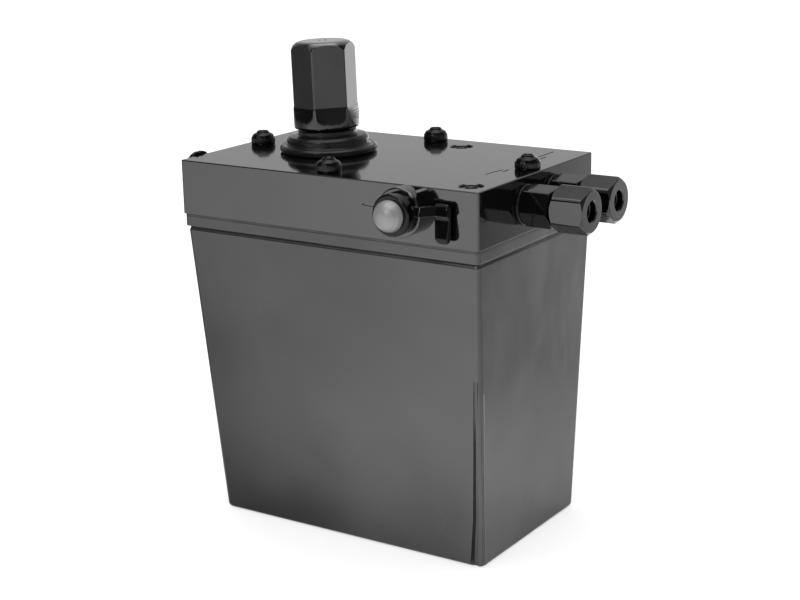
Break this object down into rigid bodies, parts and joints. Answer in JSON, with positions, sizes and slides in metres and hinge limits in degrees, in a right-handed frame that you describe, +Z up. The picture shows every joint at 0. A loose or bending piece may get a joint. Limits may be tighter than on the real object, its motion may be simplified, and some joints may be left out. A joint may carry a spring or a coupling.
{
  "type": "hand-operated hydraulic power unit",
  "caption": "Rectangular manifold block on a tapered oil tank, with a rocking hexagon pump lever, a rotary selector on the front face and tube fittings on one end.",
  "frame": {"origin": "centre of the block's plan, on the tank's flat underside", "axes": "+Z up out of the tank through the block, +X towards the tube fittings, -Y towards the selector"},
  "size_m": [0.1781, 0.1126, 0.2042],
  "materials": {
    "block_paint": "glossy black-grey paint over a machined block",
    "tank": "semi-gloss dark grey moulding",
    "black_steel": "black, glossy, slightly worn edges",
    "steel": "bright ground steel",
    "bush_bronze": "plain bearing bronze",
    "gauze": "pierced bright sheet",
    "rubber": "black oil-resistant rubber, satin"
  },
  "bodies": {
    "housing": {"reservoir": "tank", "reservoir_gasket": "rubber", "manifold_block": "block_paint", "tank_screw_left": "black_steel", "tank_screw_right": "black_steel", "tank_screw_front": "black_steel", "tank_screw_rear": "black_steel", "relief_plug": "black_steel", "gallery_plug": "black_steel", "filler_plug": "black_steel", "filler_seal": "rubber", "pivot_pin": "steel", "pivot_pin_plug": "black_steel", "lever_boot": "rubber", "pump_body": "steel", "pump_screw_1": "black_steel", "pump_screw_2": "black_steel", "pump_screw_3": "black_steel", "pump_screw_4": "black_steel", "plunger_seal": "rubber", "face_seal": "rubber", "suction_fitting": "steel", "suction_tube": "steel", "suction_strainer": "gauze", "suction_stop_pin": "steel", "delivery_spring": "steel", "relief_spring": "steel", "selector_stop_pin": "steel", "port_adapter_front": "black_steel", "port_seal_front": "rubber", "tube_nut_front": "black_steel", "cutting_ring_front": "steel", "port_adapter_rear": "black_steel", "port_seal_rear": "rubber", "tube_nut_rear": "black_steel", "cutting_ring_rear": "steel"},
    "lever": {"pump_lever": "black_steel", "lever_bush": "bush_bronze"},
    "plunger": {"plunger": "steel"},
    "suction_valve": {"suction_ball": "steel"},
    "delivery_valve": {"delivery_ball": "steel"},
    "relief_valve": {"relief_ball": "steel"},
    "selector": {"selector_spool": "steel", "selector_seal": "rubber", "selector_lever": "black_steel", "selector_dome_nut": "steel", "selector_roll_pin": "steel"}
  },
  "joints": [
    {"name": "lever_rock", "type": "hinge", "parent": "housing", "child": "lever", "pos_m": [-0.0296, 0, 0.1455], "axis": [0, 1, 0], "range_deg": [-15, 20], "deforming": ["lever_boot"]},
    {"name": "plunger_slide", "type": "slide", "parent": "housing", "child": "plunger", "axis": [1, 0, 0], "range_m": [-0.0097, 0.0073]},
    {"name": "suction_lift", "type": "slide", "parent": "housing", "child": "suction_valve", "axis": [0, 0, 1], "range_m": [0, 0.0015]},
    {"name": "delivery_lift", "type": "slide", "parent": "housing", "child": "delivery_valve", "axis": [0, 0, 1], "range_m": [0, 0.0015], "deforming": ["delivery_spring"]},
    {"name": "relief_lift", "type": "slide", "parent": "housing", "child": "relief_valve", "axis": [0, 0, 1], "range_m": [0, 0.0008], "deforming": ["relief_spring"]},
    {"name": "selector_turn", "type": "hinge", "parent": "housing", "child": "selector", "pos_m": [0.0405, 0, 0.1471], "axis": [0, 1, 0], "range_deg": [0, 90]}
  ],
  "couplings": [
    {"joint": "plunger_slide", "follows": "lever_rock", "m_per_rad": -0.0276}
  ]
}
